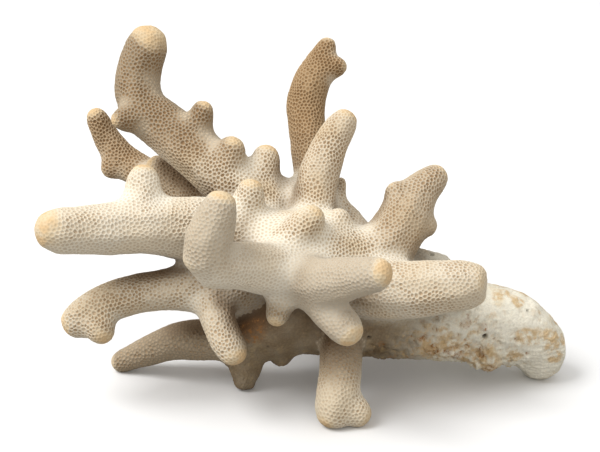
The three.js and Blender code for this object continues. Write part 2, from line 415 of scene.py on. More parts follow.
@dataclass
class Shell:
    """A surface of polygons with values at its corners.

    Args:
        points: one row for each corner.
        loops: the corner numbers of all polygons, one after another.
        sizes: how many corners each polygon has.
        values: one row of values for each named trait.
        normals: the shading direction at each corner, or None to leave it to the faces.
    """

    points: np.ndarray
    loops: np.ndarray
    sizes: np.ndarray
    values: dict[Trait, np.ndarray] = field(default_factory=dict)
    normals: np.ndarray | None = None

    @classmethod
    def of_skin(cls, skin: Skin, values: dict[Trait, np.ndarray] | None = None) -> "Shell":
        """The triangles of a skin, with values at its corners."""
        return cls(skin.points, skin.faces.ravel(), np.full(len(skin.faces), 3), values or {})

    @classmethod
    def of_mesh(cls, mesh: bpy.types.Mesh, traits: tuple[Trait, ...], shaded: bool) -> "Shell":
        """Reads a Blender mesh.

        Args:
            mesh: the mesh.
            traits: the number attributes of its corners to keep.
            shaded: whether to keep its smooth shading.

        Returns:
            The mesh as a shell.
        """
        points = column(mesh.vertices, "co", np.float32, 3)
        loops = column(mesh.loops, "vertex_index", np.int32)
        shell = cls(points, loops, column(mesh.polygons, "loop_total", np.int32))
        for trait in traits:
            shell.values[trait] = column(mesh.attributes[trait.value].data, "value", np.float32)
        if shaded:
            shell.normals = column(mesh.vertex_normals, "vector", np.float32, 3)
        return shell

    def part(self, chosen: np.ndarray) -> "Shell":
        """The shell of the chosen polygons alone."""
        loops = self.loops[np.repeat(chosen, self.sizes)]
        kept, loops = np.unique(loops, return_inverse=True)
        values = {trait: row[kept] for trait, row in self.values.items()}
        normals = None if self.normals is None else self.normals[kept]
        return Shell(self.points[kept], loops, self.sizes[chosen], values, normals)

    def _rims(self) -> dict[int, list[int]]:
        """The corners that follow each corner round the open rims, the way that a lid runs."""
        starts = np.append(0, np.cumsum(self.sizes)[:-1])
        following = np.arange(len(self.loops)) + 1
        following[starts + self.sizes - 1] = starts
        start, end = self.loops.astype(np.int64), self.loops[following].astype(np.int64)
        count = len(self.points)
        open_side = ~np.isin(start * count + end, end * count + start)
        rims: dict[int, list[int]] = {}
        for here, there in zip(end[open_side].tolist(), start[open_side].tolist()):
            rims.setdefault(here, []).append(there)
        return rims

    def without_pinches(self) -> "Shell":
        """The shell less the polygons at any corner where two rims touch."""
        shell = self
        while True:
            pinched = [corner for corner, others in shell._rims().items() if len(others) > 1]
            if not pinched:
                return shell
            touched = np.isin(shell.loops, pinched)
            polygon = np.repeat(np.arange(len(shell.sizes)), shell.sizes)
            shell = shell.part(np.bincount(polygon, weights=touched) == 0)

    def closed(self, body: Skin, depth: float) -> "Shell":
        """The shell with a lid on every open rim.

        Args:
            body: the base form, which hides the lids.
            depth: how deep inside the body a lid hangs.

        Returns:
            A closed shell.
        """
        following = {corner: others[0] for corner, others in self._rims().items()}
        if not following:
            return self
        made = len(self.points)
        points, normals, faces = [self.points], [], []
        values = {trait: [row] for trait, row in self.values.items()}
        while following:
            corner, rim = next(iter(following)), []
            while corner in following:
                rim.append(corner)
                corner = following.pop(corner)
            spokes = self.points[rim] - self.points[rim].mean(0)
            apart = spokes * LID_SPREAD
            edge = body.sunk(self.points[rim], LID_EDGE_DEPTH * depth)
            middle = edge.mean(0)
            rings = [edge + apart]
            for share in LID_RINGS:
                rings.append(body.sunk(edge + (middle - edge) * share, depth) + apart)
            outer, count = np.array(rim), len(rim)
            for _ in rings:
                inner = made + np.arange(count)
                faces += self._band(outer, inner)
                outer, made = inner, made + count
            faces += [(here, there, made) for here, there in zip(outer, np.roll(outer, -1))]
            made += 1
            points += rings + [body.sunk(middle[None], depth)]
            outwards = unit(np.cross(spokes, np.roll(spokes, -1, axis=0)).sum(0)[None])
            normals.append(np.repeat(outwards, len(rings) * count + 1, axis=0))
            for trait, row in self.values.items():
                values[trait] += [row[rim]] * len(rings) + [row[rim].mean()[None]]
        shading = None if self.normals is None else np.concatenate([self.normals, *normals])
        loops = np.concatenate([self.loops, np.array(faces).ravel()])
        sizes = np.concatenate([self.sizes, np.full(len(faces), 3)])
        joined = {trait: np.concatenate(rows).astype(np.float32) for trait, rows in values.items()}
        return Shell(np.concatenate(points), loops, sizes, joined, shading)

    @staticmethod
    def _band(outer: np.ndarray, inner: np.ndarray) -> list[tuple[int, int, int]]:
        """The triangles between two rings of a lid."""
        band = []
        for a, b, c, d in zip(outer, np.roll(outer, -1), np.roll(inner, -1), inner):
            band += [(a, b, c), (a, c, d)]
        return band

    def triangles(self) -> int:
        """How many triangles the polygons make."""
        return int((self.sizes - 2).sum())

    def to_mesh(self, name: str) -> bpy.types.Mesh:
        """A Blender mesh of the shell, shaded smooth."""
        mesh = bpy.data.meshes.new(name)
        mesh.vertices.add(len(self.points))
        mesh.vertices.foreach_set("co", self.points.astype(np.float32).ravel())
        mesh.loops.add(len(self.loops))
        mesh.loops.foreach_set("vertex_index", self.loops.astype(np.int32))
        mesh.polygons.add(len(self.sizes))
        starts = np.append(0, np.cumsum(self.sizes)[:-1])
        mesh.polygons.foreach_set("loop_start", starts.astype(np.int32))
        mesh.update(calc_edges=True)
        mesh.shade_smooth()
        for trait, row in self.values.items():
            kind = "INT" if row.dtype.kind == "i" else "FLOAT"
            mesh.attributes.new(trait.value, kind, "POINT").data.foreach_set("value", row)
        if self.normals is not None:
            mesh.normals_split_custom_set_from_vertices(self.normals.tolist())
        return mesh


class Plan:
    """A node tree that is being drawn up, for a shader or for geometry."""

    def __init__(self, tree: bpy.types.NodeTree) -> None:
        """Starts on an empty tree."""
        self.tree = tree
        tree.nodes.clear()

    def node(
        self, kind: str, settings: dict[str, object] | None = None, **sockets: object,
    ) -> bpy.types.Node:
        """Adds one node.

        Args:
            kind: the node's type.
            settings: its properties, set before its sockets.
            sockets: values or links by socket name, with _ for a space, or by in_ and its place.

        Returns:
            The new node.
        """
        made = self.tree.nodes.new(kind)
        for key, value in (settings or {}).items():
            setattr(made, key, value)
        for key, value in sockets.items():
            self._fill(self._socket(made, key), value)
        return made

    @staticmethod
    def _socket(made: bpy.types.Node, key: str) -> bpy.types.NodeSocket:
        """The input that a key of node() stands for."""
        if key.startswith("in_"):
            return made.inputs[int(key[3:])]
        name = key.replace("_", " ").lower()
        return next(s for s in made.inputs if s.enabled and s.name.lower() == name)

    def _fill(self, socket: bpy.types.NodeSocket, value: object) -> None:
        """Links a socket, or gives it a plain value."""
        if isinstance(value, Number):
            value = value.socket
        if isinstance(value, bpy.types.NodeSocket):
            self.tree.links.new(value, socket)
        else:
            socket.default_value = value

    def number(self, socket: bpy.types.NodeSocket) -> "Number":
        """A socket to reckon with."""
        return Number(self, socket)

    def mixed(self, first: object, second: object, share: object) -> bpy.types.NodeSocket:
        """One colour blended into another."""
        sockets = {"in_0": share, "in_6": self._rgba(first), "in_7": self._rgba(second)}
        made = self.node("ShaderNodeMix", {"data_type": "RGBA"}, **sockets)
        return made.outputs[2]

    @staticmethod
    def _rgba(colour: object) -> object:
        """A colour with its alpha, or a link as it is."""
        return (*colour, 1.0) if isinstance(colour, tuple) else colour

    def scaled(self, vector: object, share: object) -> bpy.types.NodeSocket:
        """A colour or a direction, times a share."""
        made = self.node("ShaderNodeVectorMath", {"operation": "SCALE"}, in_0=vector, scale=share)
        return made.outputs[0]

    def soft_noise(
        self, place: object, size: float, detail: float = 2.0, roughness: float = 0.5,
    ) -> "Number":
        """Noise from 0 to 1 that changes over a length of size."""
        sockets = {"vector": place, "scale": 1 / size, "detail": detail, "roughness": roughness}
        return Number(self, self.node("ShaderNodeTexNoise", **sockets).outputs[0])


@dataclass(frozen=True)
class Number:
    """A socket that adds Math nodes to its plan as it is reckoned with."""

    plan: Plan
    socket: bpy.types.NodeSocket

    def _reckon(self, operation: str, *values: object) -> "Number":
        """Adds one Math node on these values."""
        inputs = {f"in_{place}": value for place, value in enumerate(values)}
        made = self.plan.node("ShaderNodeMath", {"operation": operation}, **inputs)
        return Number(self.plan, made.outputs[0])

    def __add__(self, other: object) -> "Number":
        """self + other."""
        return self._reckon("ADD", self, other)

    def __radd__(self, other: object) -> "Number":
        """other + self."""
        return self._reckon("ADD", other, self)

    def __sub__(self, other: object) -> "Number":
        """self - other."""
        return self._reckon("SUBTRACT", self, other)

    def __rsub__(self, other: object) -> "Number":
        """other - self."""
        return self._reckon("SUBTRACT", other, self)

    def __mul__(self, other: object) -> "Number":
        """self * other."""
        return self._reckon("MULTIPLY", self, other)

    def __rmul__(self, other: object) -> "Number":
        """other * self."""
        return self._reckon("MULTIPLY", other, self)

    def __truediv__(self, other: object) -> "Number":
        """self / other."""
        return self._reckon("DIVIDE", self, other)

    def at_least(self, floor: float) -> "Number":
        """self, or floor where that is more."""
        return self._reckon("MAXIMUM", self, floor)

    def above(self, limit: float) -> "Number":
        """1 where self is above limit, or else 0."""
        return self._reckon("GREATER_THAN", self, limit)

    def at_most(self, top: float) -> "Number":
        """self, or top where that is less."""
        return self._reckon("MINIMUM", self, top)

    def eased(self, low: float, high: float) -> "Number":
        """Eased from 0 at low to 1 at high."""
        settings = {"interpolation_type": "SMOOTHSTEP"}
        made = self.plan.node("ShaderNodeMapRange", settings, value=self, from_min=low, from_max=high)
        return Number(self.plan, made.outputs[0])


class GeometryPlan(Plan):
    """A Geometry Nodes tree that turns one mesh into another."""

    def __init__(self, name: str, sizes: dict[str, float]) -> None:
        """Starts a tree.

        Args:
            name: the tree's name.
            sizes: its named inputs and their values.
        """
        tree = bpy.data.node_groups.new(name, "GeometryNodeTree")
        super().__init__(tree)
        tree.interface.new_socket("Geometry", in_out="INPUT", socket_type="NodeSocketGeometry")
        tree.interface.new_socket("Geometry", in_out="OUTPUT", socket_type="NodeSocketGeometry")
        self.sizes = sizes
        for size in sizes:
            tree.interface.new_socket(size, in_out="INPUT", socket_type="NodeSocketFloat")
        self._inputs = tree.nodes.new("NodeGroupInput")

    @property
    def geometry(self) -> bpy.types.NodeSocket:
        """The mesh that comes in."""
        return self._inputs.outputs[0]

    def size(self, name: str) -> Number:
        """One of the named inputs."""
        return Number(self, self._inputs.outputs[name])

    def trait(self, trait: Trait) -> Number:
        """A trait's value at each place."""
        made = self.node("GeometryNodeInputNamedAttribute", {"data_type": "FLOAT"}, name=trait.value)
        return Number(self, made.outputs[0])

    def stored(
        self, geometry: object, trait: Trait, value: object, where: object = True,
    ) -> bpy.types.NodeSocket:
        """The geometry with a trait written at its chosen corners."""
        settings = {"data_type": "FLOAT", "domain": "POINT"}
        sockets = {"geometry": geometry, "selection": where, "name": trait.value, "value": value}
        return self.node("GeometryNodeStoreNamedAttribute", settings, **sockets).outputs[0]

    def finish(self, geometry: object, material: bpy.types.Material | None) -> None:
        """Ends the tree with real meshes and a material."""
        real = self.node("GeometryNodeRealizeInstances", geometry=geometry).outputs[0]
        painted = self.node("GeometryNodeSetMaterial", geometry=real, material=material).outputs[0]
        out = self.tree.nodes.new("NodeGroupOutput")
        self.tree.links.new(painted, out.inputs[0])

    def run(self, mesh: bpy.types.Mesh) -> bpy.types.Mesh:
        """Puts a mesh through the tree.

        Args:
            mesh: the mesh that goes in.

        Returns:
            The mesh that comes out.
        """
        piece = placed(self.tree.name, mesh)
        modifier = piece.modifiers.new(self.tree.name, "NODES")
        modifier.node_group = self.tree
        for item in self.tree.interface.items_tree:
            if item.in_out == "INPUT" and item.name in self.sizes:
                modifier[item.identifier] = self.sizes[item.name]
        return settled(piece)


def settled(piece: bpy.types.Object) -> bpy.types.Mesh:
    """The plain mesh that an object's modifiers make. The object is removed."""
    graph = bpy.context.evaluated_depsgraph_get()
    mesh = bpy.data.meshes.new_from_object(
        piece.evaluated_get(graph), preserve_all_data_layers=True, depsgraph=graph)
    bpy.data.objects.remove(piece)
    return mesh


class Limbs:
    """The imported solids, and which of them each place belongs to."""

    def __init__(self, nodes: dict[str, bpy.types.Object]) -> None:
        """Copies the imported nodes, their corners merged."""
        self.names = sorted(nodes)
        self.solids = [self._merged(nodes[name].data) for name in self.names]
        starts = np.cumsum([0] + [len(solid.points) for solid in self.solids])
        points = np.concatenate([solid.points for solid in self.solids])
        faces = np.concatenate([solid.faces + start for solid, start in zip(self.solids, starts)])
        self._owner = np.repeat(np.arange(len(self.names)), [len(solid.faces) for solid in self.solids])
        self._tree = BVHTree.FromPolygons(points.tolist(), faces.tolist())

    @staticmethod
    def _merged(mesh: bpy.types.Mesh) -> Skin:
        """A copy of a node's mesh, with each corner once."""
        copy = bmesh.new()
        copy.from_mesh(mesh)
        bmesh.ops.remove_doubles(copy, verts=copy.verts, dist=0.001 * MM)
        merged = bpy.data.meshes.new("solid")
        copy.to_mesh(merged)
        copy.free()
        return Skin.of_mesh(merged)

    def owners(self, points: np.ndarray) -> np.ndarray:
        """The number of the nearest solid, for each point."""
        nearest = self._tree.find_nearest
        return self._owner[[nearest(Vector(p))[2] for p in points.tolist()]]


@dataclass
class BaseForm:
    """The colony's smooth body, before it has cups.

    The solids swell until they fuse, which also fills narrow clefts. Their flats are eased away, the
    forks are filled out into webs, as living coral fills them, and the skin shrinks back.
    """

    voxel: float = 0.45 * MM
    fuse: float = 1.0 * MM
    ease_reach: float = 1.25 * MM
    web_rounds: int = 8
    web_steps: int = 12
    web_bend: float = 40.0
    web_blur: int = 4
    last_rounds: int = 6
    shrink: float = 0.66 * MM
    lumps: tuple[tuple[float, float], ...] = ((0.42 * MM, 10.0 * MM), (0.16 * MM, 4.5 * MM))

    def grow(self, limbs: Limbs) -> Skin:
        """Fuses the solids and rounds the whole.

        Args:
            limbs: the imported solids.

        Returns:
            One closed skin of small even triangles.
        """
        skin = self._fused(limbs)
        rounds = math.ceil(3 * (self.ease_reach / self.voxel) ** 2)
        skin.points = skin.blurred(skin.points, rounds)
        self._web(skin)
        skin.points = skin.blurred(skin.points, self.last_rounds)
        rise = np.full(len(skin.points), -self.shrink)
        for shift, (height, size) in enumerate(self.lumps):
            rise += height * clouds(skin.points, size, 7.3 * shift)
        skin.points += skin.normals() * skin.blurred(rise, 2)[:, None]
        skin.points[:, 2] = np.maximum(skin.points[:, 2], CAD_BOX[0][2])
        skin.points[:, 0] = np.minimum(skin.points[:, 0], CAD_BOX[1][0])
        return skin

    def _fused(self, limbs: Limbs) -> Skin:
        """The swollen solids as one skin of even squares, each cut in two."""
        points, faces, count = [], [], 0
        for solid in limbs.solids:
            points.append(solid.points + solid.normals() * self.fuse)
            faces.append(solid.faces + count)
            count += len(solid.points)
        heap = Skin(np.concatenate(points), np.concatenate(faces))
        piece = placed("heap", Shell.of_skin(heap).to_mesh("heap"))
        remesh = piece.modifiers.new("even squares", "REMESH")
        remesh.mode = "VOXEL"
        remesh.voxel_size = self.voxel
        return Skin.of_mesh(settled(piece)).largest_body()

    def _web(self, skin: Skin) -> None:
        """Fills the hollows at the forks, in place."""
        step_area = self.voxel ** 2 / 3
        for _ in range(self.web_rounds):
            hollow = ((skin.around(skin.points) - skin.points) * skin.normals()).sum(1) / step_area
            share = np.clip(skin.blurred(hollow, self.web_blur) / self.web_bend, 0, 1)[:, None] / 2
            for _ in range(self.web_steps):
                skin.points = skin.points + share * (skin.around(skin.points) - skin.points)


@dataclass
class SeedNet:
    """Evenly spread seeds, one in the middle of each cup, and the net that joins neighbours."""

    spacing: float = 1.34 * MM
    scatter_share: float = 0.78
    density: float = 6.0e6
    seed: int = 3
    rounds: int = 3
    skin: Skin = field(init=False)
    seeds: np.ndarray = field(init=False)
    cell: np.ndarray = field(init=False)

    def spread(self, skin: Skin) -> Skin:
        """Spreads the seeds and draws the net.

        Args:
            skin: the base form.

        Returns:
            The net, a closed skin with a corner for each seed. self.cell gives each corner of
            the base form the number of its seed.
        """
        self.skin = skin
        self.seeds = self._scattered()
        shares = skin.shares()
        for _ in range(self.rounds):
            self._move_to_middles(shares)
        while True:
            self.cell = tidied(self._nearest(), skin.edges)
            net = self._net()
            misfits = self._misfits(net)
            if not len(misfits):
                return net
            self.seeds = np.delete(self.seeds, misfits, axis=0)

    def _scattered(self) -> np.ndarray:
        """Random seeds that keep their distance."""
        distance = self.spacing * self.scatter_share
        plan = GeometryPlan("seed scatter", {"Spacing": distance, "Density": self.density})
        points = plan.node(
            "GeometryNodeDistributePointsOnFaces", {"distribute_method": "POISSON"}, mesh=plan.geometry,
            distance_min=plan.size("Spacing"), density_max=plan.size("Density"), seed=self.seed)
        corners = plan.node("GeometryNodePointsToVertices", points=points.outputs[0])
        plan.finish(corners.outputs[0], None)
        return Skin.of_mesh(plan.run(Shell.of_skin(self.skin).to_mesh("base form"))).points

    def _nearest(self) -> np.ndarray:
        """The number of the nearest seed, for each corner of the base form."""
        tree = KDTree(len(self.seeds))
        for number, seed in enumerate(self.seeds.tolist()):
            tree.insert(seed, number)
        tree.balance()
        find = tree.find
        return np.array([find(point)[1] for point in self.skin.points.tolist()])

    def _move_to_middles(self, shares: np.ndarray) -> None:
        """Moves each seed to the middle of the skin that is nearest to it."""
        cell, count = self._nearest(), len(self.seeds)
        weight = np.bincount(cell, weights=shares, minlength=count)
        sums = [np.bincount(cell, weights=shares * row, minlength=count) for row in self.skin.points.T]
        held = weight > 0
        self.seeds[held] = (np.stack(sums, 1)[held]) / weight[held, None]

    def _net(self) -> Skin:
        """A triangle wherever three cells meet."""
        corners = self.cell[self.skin.faces]
        first, second, third = corners.T
        return Skin(self.seeds, corners[(first != second) & (second != third) & (third != first)])

    def _misfits(self, net: Skin) -> np.ndarray:
        """The seeds that keep the net from being a clean closed skin."""
        count = len(self.seeds)
        links = np.bincount(net.faces.ravel(), minlength=count)
        start, end = net.faces.ravel(), np.roll(net.faces, -1, axis=1).ravel()
        keys, first, uses = np.unique(start * count + end, return_index=True, return_counts=True)
        lone = ~np.isin(end[first] * count + start[first], keys)
        return np.union1d(np.flatnonzero(links < 3), start[first][(uses > 1) | lone])


@dataclass(frozen=True)
class CupSize:
    """One measure of the cups, and how it strays.

    Args:
        usual: the measure in the open.
        losses: the shares that it loses at tips, in forks, on worn limbs and on faint ones.
        drift: how far it sways over a few cups.
        chance: how far it sways from cup to cup.
    """

    usual: float
    losses: tuple[float, float, float, float]
    drift: float
    chance: float

    def over(self, places: tuple[np.ndarray, ...], cloud: np.ndarray, luck: np.ndarray) -> np.ndarray:
        """Works out the measure of every cup.

        Args:
            places: how far each cup sits at a tip, in a fork, on a worn and on a faint limb.
            cloud: soft noise, from -1 to 1.
            luck: chance, from -0.5 to 0.5.

        Returns:
            One measure for each cup.
        """
        share = np.ones(len(cloud))
        for loss, place in zip(self.losses, places):
            share = share * (1 - loss * place)
        return self.usual * share * (1 + self.drift * cloud + self.chance * luck)


@dataclass
class CupTraits:
    """How wide, deep and dark each cup is, from where it sits."""

    width: CupSize = CupSize(0.56, (0.22, 0.20, 0.4, 0.0), 0.16, 0.16)
    depth: CupSize = CupSize(0.42 * MM, (0.66, 0.38, 0.6, 0.40), 0.45, 0.3)
    least_depth: float = 0.03 * MM
    tone_drift: float = 0.75
    tone_chance: float = 0.7
    cloud_size: float = 11 * MM
    tip_bend: tuple[float, float] = (55.0, 95.0)
    tip_roundness: tuple[float, float] = (0.30, 0.72)
    tip_edge: tuple[float, float] = (0.28, 1.05)
    tip_rounds: int = 8
    fork_bend: tuple[float, float] = (40.0, 140.0)
    fork_rounds: int = 5
    worn_rounds: int = 7
    faint_rounds: int = 12
    tan_rounds: int = 20
    dull_rounds: int = 8
    shelter_rounds: int = 3
    looks: int = 16
    look_from: float = 0.6 * MM
    look_range: float = 45 * MM
    seed: int = 11

    def read(self, net: Skin, skin: Skin, limbs: Limbs) -> dict[Trait, np.ndarray]:
        """Works out the traits of every cup.

        Args:
            net: the net of seeds.
            skin: the base form.
            limbs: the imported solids.

        Returns:
            One value for each seed, by trait.
        """
        limb = tidied(limbs.owners(net.points), net.edges)
        least, most = net.bends()
        round_share = least / np.maximum(most, 1.0)
        tip = smooth_step(*self.tip_roundness, round_share) * smooth_step(*self.tip_bend, most)
        tip = smooth_step(*self.tip_edge, net.blurred(tip, self.tip_rounds))
        fork = net.blurred(smooth_step(*self.fork_bend, -least), self.fork_rounds)
        worn = self._near(net, limb, limbs, WORN_LIMBS, self.worn_rounds)
        faint = self._near(net, limb, limbs, FAINT_LIMBS, self.faint_rounds)
        cloud = clouds(net.points, self.cloud_size, 3.1)
        luck = np.random.default_rng(self.seed).random(len(net.points)) - 0.5
        places = (tip, fork, worn, faint)
        return {
            Trait.LIMB: limb,
            Trait.WIDTH: self.width.over(places, cloud, luck),
            Trait.DEPTH: np.maximum(self.depth.over(places, cloud, luck), self.least_depth),
            Trait.TIP: tip,
            Trait.FORK: fork,
            Trait.TAN: self._near(net, limb, limbs, TAN_LIMBS, self.tan_rounds),
            Trait.DULL: self._near(net, limb, limbs, DULL_AND_SHADED_LIMBS, self.dull_rounds),
            Trait.TONE: np.clip(0.5 + self.tone_drift * cloud + self.tone_chance * luck, 0, 1),
            Trait.FAINT: faint,
            Trait.SHELTERED: net.blurred(self._sheltered(net, skin), self.shelter_rounds),
        }

    def _sheltered(self, net: Skin, skin: Skin) -> np.ndarray:
        """The share of the directions out of each cup in which more coral is close by."""
        turns = np.arange(self.looks) + 0.5
        out = np.sqrt(1 - turns / self.looks)
        side = np.sqrt(turns / self.looks)
        angle = turns * math.pi * (3 - math.sqrt(5))
        normals = net.normals()
        across, along = axes_on(normals)
        starts = [Vector(point) for point in (net.points + normals * self.look_from).tolist()]
        blocked = np.zeros(len(starts))
        for o, u, v in zip(out, side * np.cos(angle), side * np.sin(angle)):
            ways = (normals * o + across * u + along * v).tolist()
            hits = [skin.tree.ray_cast(start, way, self.look_range) for start, way in zip(starts, ways)]
            blocked += [hit[3] is not None for hit in hits]
        return blocked / self.looks

    @staticmethod
    def _near(
        net: Skin, limb: np.ndarray, limbs: Limbs, tones: dict[str, Tone], rounds: int,
    ) -> np.ndarray:
        """A tone that some limbs have, blurred past their borders."""
        height = net.points[:, 2] - CAD_BOX[0][2]
        share = np.zeros(len(limb))
        for number, name in enumerate(limbs.names):
            if name in tones:
                tone, own = tones[name], limb == number
                share[own] = tone.share * smooth_step(tone.low, tone.high, height[own])
                if tone.until:
                    share[own] *= 1 - smooth_step(*tone.until, shares_along(net.points[own, 0], name))
        return net.blurred(share, rounds)


@dataclass
class CupGrower:
    """Presses a pit into every cell of the seed net.

    Each ring is (its width past the pit's, its share of the depth, how much of it is pit). Shallow
    cups go without the last ring.
    """

    rings: tuple[tuple[float, float, float], ...] = (
        (0.24, 0.12, 0.06), (0.0, 0.48, 0.70), (-0.18, 0.40, 1.0))
    least_ring: float = 0.12
    deep_from: float = 0.36 * MM
    crest_wobble: float = 0.10 * MM
    wobble_size: float = 1.3 * MM

    def _plan(self) -> GeometryPlan:
        """Draws up the tree: cells round the seeds, then ring after ring down into each."""
        plan = GeometryPlan("cups", {"Crest Wobble": self.crest_wobble, "Wobble Size": self.wobble_size})
        skin = plan.node("GeometryNodeDualMesh", mesh=plan.geometry).outputs[0]
        place = plan.node("ShaderNodeVectorMath", {"operation": "DIVIDE"},
                          in_0=plan.node("GeometryNodeInputPosition").outputs[0],
                          in_1=plan.size("Wobble Size")).outputs[0]
        rise = (plan.soft_noise(place, 1.0) - 0.5) * 2.0 * plan.size("Crest Wobble")
        lift = plan.scaled(plan.node("GeometryNodeInputNormal").outputs[0], rise)
        skin = plan.node("GeometryNodeSetPosition", geometry=skin, offset=lift).outputs[0]
        skin = plan.stored(skin, Trait.PIT, 0.0)
        width, depth = plan.trait(Trait.WIDTH), plan.trait(Trait.DEPTH)
        before, chosen = None, True
        for wider, share, pit in self.rings:
            if (wider, share, pit) == self.rings[-1]:
                chosen = plan.number(chosen) * depth.above(self.deep_from)
            ring = (width + wider).at_least(self.least_ring)
            shrink = ring if before is None else ring / before
            pressed = plan.node("GeometryNodeExtrudeMesh", {"mode": "FACES"}, mesh=skin,
                                selection=chosen, offset_scale=depth * -share, individual=True)
            chosen = pressed.outputs["Top"]
            narrowed = plan.node("GeometryNodeScaleElements", {"domain": "FACE"},
                                 geometry=pressed.outputs["Mesh"], selection=chosen, scale=shrink)
            skin = plan.stored(narrowed.outputs[0], Trait.PIT, pit, chosen)
            before = ring
        for trait in PAINT_TRAITS:
            skin = plan.stored(skin, trait, plan.trait(trait))
        plan.finish(skin, None)
        return plan

    def grow(self, net: Skin, traits: dict[Trait, np.ndarray]) -> tuple[Shell, np.ndarray]:
        """Grows all cups.

        Args:
            net: the net of seeds.
            traits: the cups' traits.

        Returns:
            The skin with its cups, and the number of the limb that each polygon belongs to.
        """
        mesh = self._plan().run(Shell.of_skin(net, traits).to_mesh("seed net"))
        limb = column(mesh.attributes[Trait.LIMB.value].data, "value", np.int32)
        return Shell.of_mesh(mesh, (Trait.PIT, *PAINT_TRAITS), shaded=True), limb


@dataclass(frozen=True)
class Spot:
    """A round patch on a limb, placed by shares of the limb's box and laid on the nearest skin.

    Its edge fades over a stretch of its radius and wanders with a noise of one size.
    """

    EDGE = (0.75, 1.15)
    WANDER_SIZE = 5 * MM

    share: tuple[float, float, float]
    radius: float

    def cover(self, points: np.ndarray, limb: str, ragged: float = 0.0) -> np.ndarray:
        """How much of the spot lies on each point, from 0 to 1.

        Args:
            points: the points.
            limb: the limb whose box places the spot.
            ragged: how far its edge wanders.

        Returns:
            One share for each point.
        """
        low, high = (np.array(corner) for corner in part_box(limb))
        middle = low + (high - low) * np.array(self.share)
        middle = points[np.linalg.norm(points - middle, axis=1).argmin()]
        away = np.linalg.norm(points - middle, axis=1)
        if ragged:
            away = away + ragged * clouds(points, self.WANDER_SIZE, 5.5)
        full, gone = self.EDGE
        return 1 - smooth_step(full * self.radius, gone * self.radius, away)


def spots(*rows: tuple[float, float, float, float]) -> tuple[Spot, ...]:
    """Spots from rows of three shares and a radius in mm."""
    return tuple(Spot(row[:3], row[3] * MM) for row in rows)


@dataclass(frozen=True)
class Wear:
    """How one limb has weathered.

    Args:
        relief: height of the slow swells.
        grain: height of the fine roughness.
        cups: depth of what is left of the cups.
        pocket: depth of the eaten pockets.
        rough: where it is eaten most.
        striped: where growth bands show.
        stained: where it has taken an ochre stain.
        rusty: rust-coloured crusts.
        holes: worm holes.
    """

    relief: float
    grain: float
    cups: float
    pocket: float
    rough: tuple[Spot, ...] = ()
    striped: tuple[Spot, ...] = ()
    stained: tuple[Spot, ...] = ()
    rusty: tuple[Spot, ...] = ()
    holes: tuple[Spot, ...] = ()


TRUNK_WEAR = Wear(
    relief=1.0 * MM, grain=1.15 * MM, cups=0.30 * MM, pocket=1.9 * MM,
    rough=spots(
        (0.52, 0.10, 0.36, 8), (0.61, 0.12, 0.42, 11), (0.71, 0.12, 0.34, 12), (0.80, 0.15, 0.22, 10),
        (0.45, 0.05, 0.25, 6), (0.72, 0.90, 0.40, 12), (0.88, 0.80, 0.20, 9)),
    striped=spots((0.95, 0.20, 0.20, 9), (0.60, 0.75, 0.75, 10)),
    stained=spots(
        (0.80, 0.52, 0.66, 2.4), (0.86, 0.50, 0.62, 2.6), (0.92, 0.47, 0.55, 2.8), (0.97, 0.45, 0.44, 2.8),
        (0.99, 0.35, 0.32, 2.2), (0.88, 0.20, 0.40, 4.0), (0.98, 0.15, 0.42, 3.5), (0.97, 0.25, 0.22, 2.5),
        (0.80, 0.35, 0.74, 3.0), (0.86, 0.33, 0.68, 2.5), (0.93, 0.30, 0.60, 2.5), (0.84, 0.14, 0.28, 3.0),
        (0.62, 0.05, 0.30, 7.0), (0.72, 0.05, 0.20, 7.0), (0.50, 0.85, 0.50, 5.0)),
    rusty=spots(
        (0.60, 0.03, 0.32, 2.6), (0.65, 0.05, 0.30, 1.9), (0.57, 0.03, 0.46, 1.6), (0.70, 0.06, 0.56, 1.6),
        (0.75, 0.08, 0.52, 1.6), (0.73, 0.06, 0.30, 1.4), (0.77, 0.08, 0.08, 2.8), (0.45, 0.02, 0.42, 1.4),
        (0.40, 0.02, 0.28, 1.6), (0.68, 0.97, 0.35, 2.4), (0.80, 0.93, 0.30, 1.8), (0.08, 0.04, 0.53, 4.5),
        (0.48, 0.02, 0.16, 1.8), (0.54, 0.04, 0.12, 2.0), (0.68, 0.05, 0.16, 2.2)),
    holes=spots((0.755, 0.05, 0.44, 0.85), (0.55, 0.93, 0.40, 0.8), (0.83, 0.60, 0.69, 0.6)),
)
WEARS = {TRUNK: TRUNK_WEAR}


